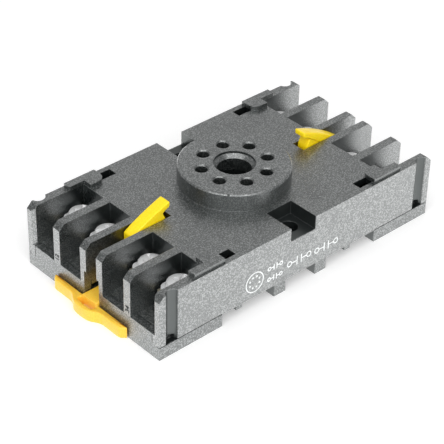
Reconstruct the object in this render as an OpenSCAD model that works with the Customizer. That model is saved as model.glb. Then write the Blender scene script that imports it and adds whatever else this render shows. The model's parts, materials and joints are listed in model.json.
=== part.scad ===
// Eight-pin relay socket for a rail or a panel.
// X runs along the long side (rail latch at -X), Z is up, and z = 0 is the underside of the feet.
// The origin is on the axis of the round relay seat.

/* [Housing] */
// Overall length along X
body_length = 91.6; // [80:0.1:100]
// Overall width along Y
body_width = 49.92; // [46:0.02:54]
// Height of the seam between the base and the housing
seam_z = 3.6; // [3:0.1:4.5]
// Height of the flat deck
deck_z = 18.2; // [17:0.1:20]
// Height of the round relay seat
seat_z = 23; // [21:0.1:26]
// Radius of the round relay seat
seat_radius = 14.4; // [13.8:0.1:15]
// Thickness of the outer walls
wall = 2.5; // [2:0.1:3]
// Thickness of the deck
deck_thickness = 2; // [1.6:0.1:2.5]
// Radius of the boss that hangs under the seat
boss_radius = 12.5; // [12:0.1:13]
// Height of the underside of that boss
boss_z = 12.3; // [12:0.1:13]
// Bevel at the top of each wall end
end_bevel = 1.5; // [0.5:0.1:2]

/* [Relay seat] */
// Diameter of the circle of pin holes
pin_circle = 17.45; // [17.2:0.05:17.6]
// Radius of a pin hole
pin_hole_radius = 1.55; // [1.4:0.05:1.7]
// Radius of the lead-in of a pin hole
pin_mouth_radius = 1.9; // [1.8:0.05:2]
// Radius of the well that holds a contact
well_radius = 2.3; // [2.2:0.05:2.4]
// Height of the top of the wells
well_top_z = 19.5; // [19:0.1:20.5]
// Radius of the key hole
key_radius = 4.4; // [4.2:0.1:4.6]
// Radius of the mouth of the key hole
key_mouth_radius = 5.35; // [5:0.05:5.6]
// Depth of the straight part of that mouth
key_mouth_depth = 0.7; // [0.4:0.1:1]
// Width of the key groove
key_groove_width = 2.2; // [1.8:0.1:2.6]
// Depth of the key groove beyond the key hole
key_groove_depth = 0.8; // [0.5:0.1:0.9]
// Direction of the tick on the rim of the seat
tick_angle = -138.4; // [-140:0.1:-135]
// Width of that tick
tick_width = 0.5; // [0.3:0.1:0.8]
// Depth of that tick
tick_depth = 0.6; // [0.4:0.1:0.9]

/* [Terminal bays] */
// Depth of a bay from the end of the housing
bay_depth = 15.7; // [15:0.1:16.4]
// Thickness of the back walls
back_wall = 2; // [1.6:0.1:2.4]
// Height of the bay floors
bay_floor_z = 6.7; // [6.2:0.1:7.2]
// Thickness of the bay floors
bay_floor = 1.5; // [1.2:0.1:1.8]
// Thickness of the partition between two bays
partition = 2.4; // [2.2:0.1:2.8]
// Outer face of the central partitions
centre_partition_out = 4.15; // [3.9:0.05:4.4]
// Bevel on the inner edge of each wall at the mouth of a bay
mouth_bevel = 0.85; // [0.5:0.05:1]
// Half width of the upper part of the central slot
slot_half = 1.97; // [1.9:0.01:2.1]
// Half width of the lower part of the central slot
slot_low_half = 2.8; // [2.6:0.1:3]
// Height of the step in the central slot
slot_step_z = 10.3; // [10:0.1:10.6]
// Gap between a lever's nose and the inner end of its slot
nose_gap = 0.2; // [0.1:0.05:0.4]
// Height of the top of a terminal block
block_z = 10.5; // [10:0.1:11]
// Distance of a terminal block from the end of the housing
block_setback = 7.8; // [7.2:0.1:8.2]
// Gap between a terminal block and the walls of its bay
block_gap = 0.48; // [0.3:0.02:0.7]

/* [Terminals] */
// Distance of the terminal screws from the end of the housing
screw_inset = 11.8; // [11.4:0.1:12]
// Thickness of the contact metal
contact_thickness = 0.8; // [0.6:0.1:1]
// Width of a contact strip
strip_width = 4; // [3.4:0.1:4.4]
// Gap between the screw plate of a contact and the walls of its bay
contact_gap = 0.58; // [0.4:0.02:0.8]
// Reach of a screw plate behind the back wall
contact_root = 0.8; // [0.6:0.1:1.2]
// Straight run of an outer strip behind the back wall
outer_run = 6.1; // [5:0.1:7]
// Straight run of an inner strip behind the back wall
inner_run = 9.1; // [8:0.1:10]
// Radius of the ring under a contact tulip
ring_radius = 2.7; // [2.5:0.1:2.9]
// Outer radius of a contact tulip
tulip_radius = 1.9; // [1.8:0.05:2]
// Inner radius of a contact tulip
tulip_bore = 1.2; // [1.18:0.01:1.25]
// Height of the top of a tulip
tulip_top_z = 17.5; // [17:0.1:18.5]
// Width of the slits in a tulip
tulip_slit = 0.5; // [0.3:0.1:0.6]
// Gap under and over a clamp washer at rest
seat_gap = 0.12; // [0.05:0.01:0.2]
// Thickness of a clamp washer
washer_thickness = 1; // [0.8:0.1:1.2]
// Gap between a clamp washer and the walls of its bay
washer_gap = 0.53; // [0.4:0.01:0.7]
// Reach of a clamp washer behind its screw
washer_back = 3.3; // [3:0.1:3.5]
// Reach of a clamp washer in front of its screw
washer_front = 4.6; // [4:0.1:5]
// Clipped corner of a clamp washer
washer_corner = 1.6; // [1:0.1:2]
// Radius of a screw head
head_radius = 3.25; // [3:0.05:3.4]
// Height of the straight rim of a screw head
head_rim = 0.8; // [0.5:0.1:1]
// Height of the rounded top of a screw head
head_dome = 0.75; // [0.5:0.05:1]
// Radius of a screw shank
shank_radius = 1.6; // [1.5:0.05:1.7]
// Radial clearance of a shank in the contact
shank_clearance = 0.06; // [0.04:0.01:0.1]
// Length of a screw shank
shank_length = 6.4; // [6:0.1:6.8]
// Width of the drive slot
drive_width = 0.8; // [0.6:0.1:1]
// Depth of the drive slot
drive_depth = 1; // [0.8:0.1:1.2]
// Radius of the cross recess
drive_cross_radius = 1.7; // [1.4:0.1:2]

/* [Deck details] */
// Half width of a side notch
notch_half = 4.16; // [4:0.02:4.3]
// Depth of a side notch
notch_depth = 8.8; // [8.4:0.1:9.2]
// Height of the floor of a side notch
notch_floor_z = 14.4; // [14:0.1:14.8]
// Distance of a panel screw hole from the wall face
panel_inset = 4.96; // [4.7:0.02:5.2]
// Radius of a panel screw hole
panel_hole_radius = 2.25; // [2.1:0.05:2.4]
// Radius of the column around a panel screw hole
panel_column_radius = 4; // [3.8:0.1:4.1]
// Height of the raised pads above the deck
pad_height = 1.2; // [1:0.1:1.4]
// Distance of a pad from the end of the housing
pad_setback = 11.1; // [10.5:0.1:11.8]
// Length of a pad
pad_length = 9.5; // [9:0.1:10]
// Length of the wide part of a pad
pad_wide_length = 4.8; // [4.4:0.1:5]
// Inset of a pad from the wall face
pad_inset = 0.5; // [0.3:0.1:0.7]
// Width of the narrow part of a pad
pad_narrow = 2.25; // [2:0.05:2.4]
// Width of the wide part of a pad
pad_wide = 4.85; // [4.6:0.05:5]
// Corner radius of a pad
pad_corner = 2.4; // [2:0.1:2.6]
// Length of a square pocket
pocket_length = 5.2; // [4.8:0.1:5.6]
// Width of a square pocket
pocket_width = 2.6; // [2.3:0.1:2.8]
// Distance of a square pocket from the wall face
pocket_inset = 1.46; // [1.2:0.02:1.7]
// Part of a square pocket that a pad covers
pocket_covered = 1; // [0.8:0.1:1.2]
// Depth of a square pocket
pocket_depth = 5; // [3:0.1:6]
// Radius of a corner groove
groove_radius = 1.9; // [1.7:0.1:2]
// Distance of a corner groove from the end of the housing
groove_inset = 3.8; // [3.6:0.1:4]
// Distance of the groove axis outside the wall face
groove_offset = 0.5; // [0.4:0.1:0.7]
// Height of the snap window under a groove
window_height = 1.3; // [1.1:0.1:1.5]
// Width of the snap window
window_width = 2.8; // [2.4:0.1:3]

/* [Base] */
// Length of the feet
foot_length = 19.6; // [19.2:0.1:19.8]
// Thickness of the foot floor and walls
foot_wall = 1.6; // [1.4:0.1:2]
// Thickness of the outer side of a foot
foot_side = 2.6; // [2.4:0.1:3]
// Inner face of the foot cavities beside the stem
channel_wall = 4.2; // [4:0.1:4.6]
// Distance of a snap lug from the wall face
lug_setback = 1.8; // [1.4:0.1:2]
// Gap around a snap lug in its window
lug_gap = 0.3; // [0.2:0.05:0.4]
// Thickness of the plate between the feet
plate = 1.6; // [1.4:0.1:1.9]
// Thickness of the end sills
sill = 2; // [1.8:0.1:2.2]
// Clearance between the base and the housing walls
base_clearance = 0.2; // [0.05:0.01:0.3]
// Height of the groove along the seam
seam_line = 0.2; // [0.1:0.05:0.4]
// Depth of the groove along the seam
seam_line_depth = 1; // [0.5:0.1:1.2]
// Inner edge of the support blocks
block_in_x = 5.1; // [5:0.05:5.4]
// Outer edge of the support blocks
block_out_x = 8.9; // [8.6:0.05:9.2]
// Distance of the support blocks from the wall face
support_inset = 0.16; // [0.1:0.02:0.4]
// Length of the support blocks along Y
block_length = 6; // [5:0.1:7]
// Edge of the rail on the latch side
rail_low_x = -19.6; // [-19.8:0.1:-19.4]
// Edge of the rail on the fixed side
rail_high_x = 15.5; // [15.3:0.1:15.7]
// Thickness of the rail nibs along X
nib = 1.9; // [1.6:0.1:2.2]
// Length of the nibs under the plate
nib_root = 3; // [2:0.5:5]
// Height of the underside of the nibs
nib_z = 2.3; // [2:0.1:2.5]
// Reach of a rail hook under the rail edge
hook_reach = 1.3; // [1:0.1:1.6]
// Height of the underside of a rail hook
hook_z = 1.1; // [0.9:0.1:1.3]
// Height of the top of the lip of a rail hook
hook_lip_z = 2.4; // [2.3:0.1:2.5]
// Half length of the fixed rail hook along Y
hook_half = 9; // [7:0.5:11]
// Radius of the posts under the tulips
post_radius = 2; // [1.8:0.1:2.2]

/* [Rail latch] */
// Gap between the T-bar and the end sill
latch_gap = 0.3; // [0.2:0.05:0.4]
// Thickness of the T-bar
bar_depth = 1.5; // [1.2:0.1:1.9]
// Height of the T-bar
bar_height = 3.25; // [3:0.05:3.5]
// Half length of the T-bar at its back
bar_half = 13.8; // [13:0.1:14.4]
// Half length of the T-bar at its front
bar_front_half = 12.6; // [12:0.1:13]
// Reach of the pry loop beyond the bar
loop_reach = 2; // [1.6:0.1:2.4]
// Half width of the pry loop at the bar
loop_half = 5.2; // [4.8:0.1:5.6]
// Thickness of the pry loop
loop_wall = 1.2; // [1:0.1:1.4]
// Half width of the pry slot
pry_half = 2.8; // [2.5:0.1:3.1]
// Thickness of the bar behind the pry slot
pry_back = 0.7; // [0.5:0.1:0.9]
// Half width of the stem
stem_half = 2.6; // [2.4:0.1:2.7]
// Height of the underside of the stem
stem_low_z = 1.2; // [1.1:0.1:1.4]
// Height of the top of the stem
stem_high_z = 4; // [3.8:0.1:4.2]
// Clearance around the stem
stem_clearance = 0.3; // [0.2:0.05:0.35]
// Half width of the latch jaw
jaw_half = 6; // [5:0.1:7]
// Thickness of the latch jaw along X
jaw_thickness = 2.2; // [1.8:0.1:2.6]
// Gap between the jaw and the rail edge
jaw_gap = 0.1; // [0:0.05:0.2]

/* [Levers] */
// Width of a lever
lever_width = 3.4; // [3.2:0.1:3.5]
// Distance of the lever pivots from the end of the housing
pivot_inset = 15.8; // [15.3:0.1:16.3]
// Height of the lever pivots
pivot_z = 13; // [12.8:0.1:13.4]
// Radius of a lever trunnion
trunnion_radius = 1.5; // [1.4:0.1:1.6]
// Radial clearance of a trunnion
trunnion_clearance = 0.06; // [0.04:0.01:0.1]
// Half length of a lever across its trunnions
trunnion_half = 3.3; // [3:0.1:3.4]
// Radius of the lever boss around its pivot
lever_boss = 2.6; // [2.4:0.1:2.8]
// Reach of the nose inward of the pivot
nose_reach = 7.4; // [7:0.1:7.6]
// Height of the short lever's nose above its pivot
short_nose = 9.4; // [9:0.1:9.8]
// Height of the long lever's nose above its pivot
long_nose = 10; // [9.6:0.1:10.4]
// Depth of a nose
nose_depth = 1.5; // [1.2:0.1:1.8]
// Length of a nose
nose_length = 2.2; // [2:0.1:2.6]
// Reach of the short lever's tail beyond its pivot
short_tail = 4.4; // [4:0.1:4.8]
// Height of that tail's top above the pivot
short_tail_rise = 4.1; // [3.8:0.1:4.4]
// Reach of the long lever's tail beyond its pivot
long_tail = 7.7; // [7.3:0.1:8.1]
// Height of that tail's top above the pivot
long_tail_rise = 2; // [1.8:0.1:2.4]
// Bulge of the short lever's back
short_bulge = 0.35; // [0.2:0.05:0.5]
// Bulge of the long lever's back
long_bulge = 0.72; // [0.5:0.02:0.9]

/* [Hidden] */
$fn = 48;
eps = 0.02;
fit_gap = 0.1;
half_length = body_length / 2;
half_width = body_width / 2;
inner_y = half_width - wall;
bay_width = (inner_y - partition - centre_partition_out) / 2;
partition_in = centre_partition_out + bay_width;
partition_out = partition_in + partition;
bay_outer_y = inner_y - bay_width / 2;
bay_inner_y = partition_in - bay_width / 2;
bay_back = half_length - bay_depth;
block_end = half_length - block_setback;
screw_x = half_length - screw_inset;
panel_y = half_width - panel_inset;
pad_out = half_length - pad_setback;
pad_in = pad_out - pad_length;
pocket_out = pad_in + pocket_covered;
pocket_y_out = half_width - pocket_inset;
groove_x = half_length - groove_inset;
foot_in = half_length - foot_length;
block_y = half_width - support_inset;
pin_r = pin_circle / 2;
base_y = inner_y - base_clearance;
sill_in = half_length - sill;
washer_z = block_z + contact_thickness + seat_gap;
head_z = washer_z + washer_thickness + seat_gap;
stem_wall = stem_half + stem_clearance;
bar_back = half_length + latch_gap;
bar_front = bar_back + bar_depth;
loop_front = bar_front + loop_reach;
loop_radius = (pow(loop_half, 2) + pow(loop_reach, 2)) / (2 * loop_reach);
pivot_x = half_length - pivot_inset;
slot_end = pivot_x - nose_reach - nose_gap;
black = [0.12, 0.12, 0.13];
orange = [0.95, 0.62, 0.12];
yellow = [0.95, 0.88, 0.15];
zinc = [0.78, 0.79, 0.8];
brass = [0.8, 0.66, 0.36];
// Terminals as [end, side, outer bay]
TERMINALS = [
  [-1, -1, 1], [-1, -1, 0], [-1, 1, 0], [-1, 1, 1],
  [1, 1, 1], [1, 1, 0], [1, -1, 0], [1, -1, 1]
];

function bay_y(t) = t[1] * (t[2] == 1 ? bay_outer_y : bay_inner_y);
function pin_angle(t) = t[2] == 1 ? 67.5 : 22.5;
function pin_x(t) = t[0] * pin_r * cos(pin_angle(t));
function pin_y(t) = t[1] * pin_r * sin(pin_angle(t));

// A box given by its lowest and highest corners
module box(low, high) {
  translate(low)
    cube(high - low);
}

// The same piece at both ends, turned half a turn
module both_ends() {
  children();
  rotate([0, 0, 180])
    children();
}

// The same piece in all four corners
module four_corners() {
  for (sx = [0, 1])
    for (sy = [0, 1])
      mirror([sx, 0, 0])
        mirror([0, sy, 0])
          children();
}

// The places of the eight pin holes
module at_pins() {
  for (t = TERMINALS)
    translate([pin_x(t), pin_y(t), 0])
      children();
}

// Cavities of one corner of the shell
module corner_cavities() {
  box([-eps, -eps, seam_z - 1], [bay_back - back_wall, inner_y, deck_z - deck_thickness]);
  box([bay_back - back_wall - eps, -eps, seam_z - 1], [sill_in - base_clearance, inner_y, bay_floor_z - bay_floor]);
  box([sill_in - base_clearance - eps, -eps, seam_z - 1], [half_length + 1, inner_y, bay_floor_z]);
  box([bay_back, partition_out, bay_floor_z], [half_length + 1, inner_y, deck_z + 1]);
  box([bay_back, centre_partition_out, bay_floor_z], [half_length + 1, partition_in, deck_z + 1]);
}

// Walls and blocks put back into one corner of the shell
module corner_ribs() {
  for (y = [bay_outer_y, bay_inner_y])
    box([bay_back - eps, y - bay_width / 2 + block_gap, bay_floor_z - bay_floor],
        [block_end, y + bay_width / 2 - block_gap, block_z]);
  box([slot_end - back_wall, 0, slot_step_z - 1], [bay_back - back_wall + eps, centre_partition_out, deck_z - deck_thickness + eps]);
  box([0, half_width - notch_depth - wall, notch_floor_z - 2], [notch_half + 1.5, inner_y + eps, deck_z - deck_thickness + eps]);
}

// Everything cut out of one corner after the ribs are in
module corner_cuts() {
  box([-eps, half_width - notch_depth, notch_floor_z], [notch_half, half_width + 1, deck_z + 1]);
  box([pocket_out - pocket_length, pocket_y_out - pocket_width, deck_z - pocket_depth],
      [pocket_out, pocket_y_out, deck_z + eps]);
  translate([groove_x, half_width + groove_offset, seam_z - 1])
    cylinder(r = groove_radius, h = deck_z);
  box([groove_x - window_width / 2, inner_y - eps, seam_z - 1], [groove_x + window_width / 2, half_width + 1, seam_z + window_height]);
  for (y = [bay_outer_y, bay_inner_y]) {
    translate([screw_x, y, seam_z])
      cylinder(r = shank_radius + 0.4, h = block_z);
    box([bay_back - back_wall - 1, y - bay_width / 2 + contact_gap - fit_gap, block_z],
        [bay_back + eps, y + bay_width / 2 - contact_gap + fit_gap, block_z + contact_thickness + fit_gap]);
  }
  box([slot_end, -eps, slot_step_z - 2], [half_length + 1, slot_half, deck_z + 1]);
  box([slot_end, -eps, seam_z - 1], [half_length + 1, slot_low_half, slot_step_z]);
  translate([pivot_x, slot_half - 1, pivot_z])
    rotate([-90, 0, 0])
      cylinder(r = trunnion_radius + trunnion_clearance, h = trunnion_half + 0.2 - slot_half + 1);
  translate([half_length, 0, deck_z - end_bevel])
    rotate([0, -45, 0])
      translate([0, -eps, 0])
        cube([3 * end_bevel, half_width + 1, 3 * end_bevel]);
  translate([0, 0, bay_floor_z])
    linear_extrude(height = deck_z)
      polygon([
        [half_length - mouth_bevel, inner_y - eps], [half_length + 1, inner_y - eps],
        [half_length + 1, inner_y + mouth_bevel + 1], [half_length - mouth_bevel, inner_y]
      ]);
  box([foot_in, half_width - seam_line_depth, seam_z - 1], [half_length + 1, half_width + 1, seam_z + seam_line]);
}

// One raised pad with its rounded inner corner
module pad() {
  outer = half_width - pad_inset;
  pad_wide_out = pad_in + pad_wide_length;
  box([pad_in, outer - pad_narrow, deck_z], [pad_out, outer, deck_z + pad_height]);
  box([pad_in + pad_corner, outer - pad_wide, deck_z], [pad_wide_out, outer, deck_z + pad_height]);
  box([pad_in, outer - pad_wide + pad_corner, deck_z], [pad_wide_out, outer, deck_z + pad_height]);
  translate([pad_in + pad_corner, outer - pad_wide + pad_corner, deck_z])
    cylinder(r = pad_corner, h = pad_height);
}

// Black upper shell with the relay seat and the terminal bays
module housing() {
  color(black)
    difference() {
      union() {
        difference() {
          box([-half_length, -half_width, seam_z], [half_length, half_width, deck_z]);
          four_corners()
            corner_cavities();
        }
        four_corners() {
          corner_ribs();
          pad();
        }
        translate([0, 0, boss_z])
          cylinder(r = boss_radius, h = deck_z - boss_z, $fn = 96);
        translate([0, 0, deck_z - eps])
          cylinder(r = seat_radius, h = seat_z - deck_z - 0.3 + eps, $fn = 96);
        translate([0, 0, seat_z - 0.3])
          cylinder(r1 = seat_radius, r2 = seat_radius - 0.3, h = 0.3, $fn = 96);
        for (s = [-1, 1])
          translate([0, s * panel_y, seam_z + plate])
            cylinder(r = panel_column_radius, h = notch_floor_z - seam_z - plate);
      }
      four_corners()
        corner_cuts();
      at_pins() {
        translate([0, 0, boss_z - 1])
          cylinder(r = well_radius, h = well_top_z - boss_z + 1);
        translate([0, 0, well_top_z - 1])
          cylinder(r = pin_hole_radius, h = seat_z);
        translate([0, 0, seat_z - 0.35])
          cylinder(r1 = pin_hole_radius, r2 = pin_mouth_radius, h = 0.35 + eps);
      }
      translate([0, 0, boss_z - 1])
        cylinder(r = key_radius, h = seat_z, $fn = 96);
      translate([0, 0, seat_z - key_mouth_depth - (key_mouth_radius - key_radius)])
        cylinder(r1 = key_radius, r2 = key_mouth_radius, h = key_mouth_radius - key_radius, $fn = 96);
      translate([0, 0, seat_z - key_mouth_depth])
        cylinder(r = key_mouth_radius, h = key_mouth_depth + 1, $fn = 96);
      box([-key_radius - key_groove_depth, -key_groove_width / 2, boss_z - 1], [0, key_groove_width / 2, seat_z - key_mouth_depth]);
      for (s = [-1, 1])
        translate([0, s * panel_y, seam_z])
          cylinder(r = panel_hole_radius, h = deck_z);
      rotate([0, 0, tick_angle])
        box([seat_radius - tick_depth, -tick_width / 2, seat_z - tick_depth], [seat_radius + 1, tick_width / 2, seat_z + 1]);
    }
}

// Black lower half with the feet and the rail edges
module base() {
  color(black)
    difference() {
      union() {
        box([-foot_in - foot_wall, -base_y, seam_z], [foot_in + foot_wall, base_y, seam_z + plate]);
        both_ends() {
          difference() {
            box([foot_in, -half_width, 0], [half_length, half_width, seam_z]);
            for (s = [0, 1])
              mirror([0, s, 0])
                box([foot_in + foot_wall, channel_wall, foot_wall], [sill_in, half_width - foot_side, seam_z + 1]);
          }
          box([sill_in, -base_y, seam_z - eps], [half_length, base_y, bay_floor_z]);
          box([foot_in, -base_y, seam_z - 1], [foot_in + foot_wall, base_y, seam_z + plate]);
          for (s = [0, 1])
            mirror([0, s, 0])
              box([foot_in + foot_wall - eps, partition_in, foot_wall - eps], [sill_in + eps, partition_in + foot_wall, seam_z]);
        }
        four_corners() {
          box([block_in_x, block_y - block_length, 0], [block_out_x, block_y, seam_z]);
          box([groove_x - window_width / 2 + lug_gap, inner_y - foot_wall, seam_z - 1],
              [groove_x + window_width / 2 - lug_gap, half_width - lug_setback, seam_z + window_height - lug_gap]);
        }
        for (s = [-1, 1]) {
          mirror([0, s == 1 ? 0 : 1, 0]) {
            box([rail_high_x, base_y - nib_root, nib_z], [rail_high_x + nib, block_y, seam_z]);
            box([rail_low_x - nib, base_y - nib_root, nib_z], [rail_low_x, block_y, seam_z]);
          }
        }
        box([rail_high_x, -hook_half, hook_z], [rail_high_x + nib, hook_half, seam_z + eps]);
        box([rail_high_x - hook_reach, -hook_half, hook_z], [rail_high_x + eps, hook_half, hook_lip_z]);
        at_pins()
          translate([0, 0, seam_z + plate - eps])
            cylinder(r = post_radius, h = block_z - seam_z - plate + eps);
      }
      for (s = [-1, 1])
        translate([0, s * panel_y, seam_z - 1])
          cylinder(r = panel_hole_radius, h = plate + 2);
      box([-half_length - 1, -stem_wall, stem_low_z - stem_clearance], [-foot_in + 1, stem_wall, stem_high_z + stem_clearance]);
      box([-sill_in, -stem_wall, stem_high_z - 1], [-foot_in - foot_wall - 3, stem_wall, bay_floor_z]);
      box([-half_length - 1, -slot_low_half, stem_high_z], [-sill_in + 1, slot_low_half, bay_floor_z + 1]);
      box([sill_in - 1, -slot_low_half, stem_high_z], [half_length + 1, slot_low_half, bay_floor_z + 1]);
    }
}

// Orange sliding latch with its T-bar, pry loop, stem and jaw
module din_latch() {
  centre = loop_front - loop_radius;
  jaw_x = -rail_low_x + jaw_gap;
  color(orange)
    difference() {
      union() {
        linear_extrude(height = bar_height)
          polygon([
            [-bar_back, -bar_half], [-bar_back, bar_half],
            [-bar_front, bar_front_half], [-bar_front, -bar_front_half]
          ]);
        intersection() {
          translate([-centre, 0, 0])
            cylinder(r = loop_radius, h = bar_height, $fn = 96);
          box([-loop_front - 1, -loop_half, 0], [-bar_back, loop_half, bar_height]);
        }
        box([-bar_back - eps, -stem_half, stem_low_z], [-jaw_x - jaw_thickness + eps, stem_half, stem_high_z - 0.6]);
        box([-bar_back - pry_back, -stem_half, stem_low_z], [-foot_in - foot_wall - 2 * stem_clearance, stem_half, stem_high_z]);
        box([-jaw_x - jaw_thickness, -jaw_half, stem_low_z], [-jaw_x, jaw_half, stem_high_z - 0.6]);
        box([-jaw_x - eps, -jaw_half, stem_low_z], [-jaw_x + hook_reach, jaw_half, hook_lip_z]);
      }
      intersection() {
        translate([-centre, 0, -1])
          cylinder(r = loop_radius - loop_wall, h = bar_height + 4, $fn = 96);
        box([-loop_front, -pry_half, -1], [-bar_back - pry_back, pry_half, bar_height + 2]);
      }
    }
}

// Points along the bulging back of a lever, from its nose to its tail
function lever_back(nose, tail, bulge) =
  let (side = across(tail, nose))
  [for (t = [0 : 0.125 : 1]) nose + t * (tail - nose) - 4 * bulge * t * (1 - t) * side];

// One lever as seen from its side, with its tail toward +X
module lever(nose_rise, tail, tail_rise, bulge) {
  low = lever_boss * sin(45);
  edge = 0.3 * nose_depth;
  color(yellow)
    translate([pivot_x, 0, pivot_z]) {
      translate([0, lever_width / 2, 0])
        rotate([90, 0, 0])
          linear_extrude(height = lever_width)
            polygon(concat(
              [[edge - nose_reach, nose_rise - nose_depth], [-nose_reach, nose_rise - nose_depth + edge]],
              [[-nose_reach, nose_rise - edge]],
              lever_back([edge - nose_reach, nose_rise], [tail - edge, tail_rise], bulge),
              [[tail, tail_rise - edge], [tail, tail_rise - 2.2 * nose_depth], [lever_boss, 0]],
              [[low, -low], [0, -lever_boss], [-low, -low]],
              [[-lever_boss - nose_depth, 0], [-nose_reach + 1.2, nose_depth], [-nose_reach + 1.2, nose_rise / 2]],
              [[nose_length - nose_reach + edge / 2, nose_rise - 1.75 * nose_depth]]
            ));
      rotate([90, 0, 0])
        cylinder(r = trunnion_radius, h = 2 * trunnion_half, center = true);
    }
}

// Unit vector across a path from one point to the next
function across(a, b) = let (d = (b - a) / norm(b - a)) [-d[1], d[0]];

// A flat contact strip with one mitred bend
module strip(from, bend, to) {
  first = across(from, bend);
  last = across(bend, to);
  mitre = (first + last) / (1 + first * last);
  half = strip_width / 2;
  translate([0, 0, block_z])
    linear_extrude(height = contact_thickness)
      polygon([
        from + half * first, bend + half * mitre, to + half * last,
        to - half * last, bend - half * mitre, from - half * first
      ]);
}

// Stamped contact with its screw plate, strip and pin tulip
module contact(t) {
  y = bay_y(t);
  bend = [t[0] * (bay_back - back_wall - (t[2] == 1 ? outer_run : inner_run)), y];
  pin = [pin_x(t), pin_y(t)];
  color(brass)
    difference() {
      union() {
        translate([t[0] * (bay_back - back_wall - contact_root + block_end) / 2, y, block_z + contact_thickness / 2])
          cube([block_end - bay_back + back_wall + contact_root, bay_width - 2 * contact_gap, contact_thickness], center = true);
        strip([t[0] * (bay_back - back_wall), y], bend, pin);
        translate([pin[0], pin[1], block_z])
          cylinder(r = ring_radius, h = contact_thickness);
        translate([pin[0], pin[1], block_z])
          cylinder(r = tulip_radius, h = tulip_top_z - block_z);
      }
      translate([pin[0], pin[1], block_z - 1])
        cylinder(r = tulip_bore, h = seat_z);
      for (a = [0, 90])
        translate([pin[0], pin[1], (tulip_top_z + block_z) / 2 + 2.5])
          rotate([0, 0, a + 45])
            cube([3 * tulip_radius, tulip_slit, tulip_top_z - block_z], center = true);
      translate([t[0] * screw_x, y, block_z - 1])
        cylinder(r = shank_radius + shank_clearance, h = contact_thickness + 2);
    }
}

// Clamp washer with clipped front corners
module clamp_washer(t) {
  mid = bay_width / 2 - washer_gap;
  washer_in = screw_x - washer_back;
  washer_out = screw_x + washer_front;
  color(zinc)
    translate([0, bay_y(t), washer_z])
      mirror([t[0] == 1 ? 0 : 1, 0, 0])
        difference() {
          linear_extrude(height = washer_thickness)
            polygon([
              [washer_in, -mid], [washer_out - washer_corner, -mid], [washer_out - 0.4, washer_corner - mid],
              [washer_out, 0], [washer_out - 0.4, mid - washer_corner], [washer_out - washer_corner, mid],
              [washer_in, mid]
            ]);
          translate([screw_x, 0, -1])
            cylinder(r = shank_radius + 0.15, h = washer_thickness + 2);
        }
}

// Terminal screw with a rounded head and a combined slot and cross
module terminal_screw(t) {
  color(zinc)
    translate([t[0] * screw_x, bay_y(t), head_z])
      difference() {
        union() {
          translate([0, 0, -shank_length])
            cylinder(r = shank_radius, h = shank_length + eps);
          cylinder(r = head_radius, h = head_rim);
          translate([0, 0, head_rim])
            rotate_extrude()
              polygon(concat(
                [[0, 0]],
                [for (a = [0 : 15 : 75]) [head_radius * (1 - 0.35 * (1 - cos(a))), head_dome * sin(a)]],
                [[head_radius * 0.55, head_dome], [0, head_dome]]
              ));
        }
        translate([0, 0, head_rim + head_dome - drive_depth / 2])
          for (a = [0, 90])
            rotate([0, 0, a])
              cube([a == 0 ? 3 * head_radius : 2 * drive_cross_radius, drive_width, drive_depth + eps], center = true);
      }
}

housing();
base();
din_latch();
rotate([0, 0, 180]) lever(short_nose, short_tail, short_tail_rise, short_bulge);  // lever_latch_end
lever(long_nose, long_tail, long_tail_rise, long_bulge);  // lever_fixed_end
contact(TERMINALS[0]);  // contact_1
contact(TERMINALS[1]);  // contact_2
contact(TERMINALS[2]);  // contact_3
contact(TERMINALS[3]);  // contact_4
contact(TERMINALS[4]);  // contact_5
contact(TERMINALS[5]);  // contact_6
contact(TERMINALS[6]);  // contact_7
contact(TERMINALS[7]);  // contact_8
clamp_washer(TERMINALS[0]);  // clamp_washer_1
clamp_washer(TERMINALS[1]);  // clamp_washer_2
clamp_washer(TERMINALS[2]);  // clamp_washer_3
clamp_washer(TERMINALS[3]);  // clamp_washer_4
clamp_washer(TERMINALS[4]);  // clamp_washer_5
clamp_washer(TERMINALS[5]);  // clamp_washer_6
clamp_washer(TERMINALS[6]);  // clamp_washer_7
clamp_washer(TERMINALS[7]);  // clamp_washer_8
terminal_screw(TERMINALS[0]);  // terminal_screw_1
terminal_screw(TERMINALS[1]);  // terminal_screw_2
terminal_screw(TERMINALS[2]);  // terminal_screw_3
terminal_screw(TERMINALS[3]);  // terminal_screw_4
terminal_screw(TERMINALS[4]);  // terminal_screw_5
terminal_screw(TERMINALS[5]);  // terminal_screw_6
terminal_screw(TERMINALS[6]);  // terminal_screw_7
terminal_screw(TERMINALS[7]);  // terminal_screw_8
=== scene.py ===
"""Looks of an eight-pin relay socket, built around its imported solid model.

Lengths in the classes are millimetres in the frame of the solid model: X runs along the long side
with the rail latch at -X, Z is up, and the origin is on the axis of the round relay seat.
"""

import json
import logging
import math
from dataclasses import dataclass, field
from enum import Enum
from typing import Callable, Sequence

import bmesh
import bpy
import numpy as np
from mathutils import Matrix, Vector

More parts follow.
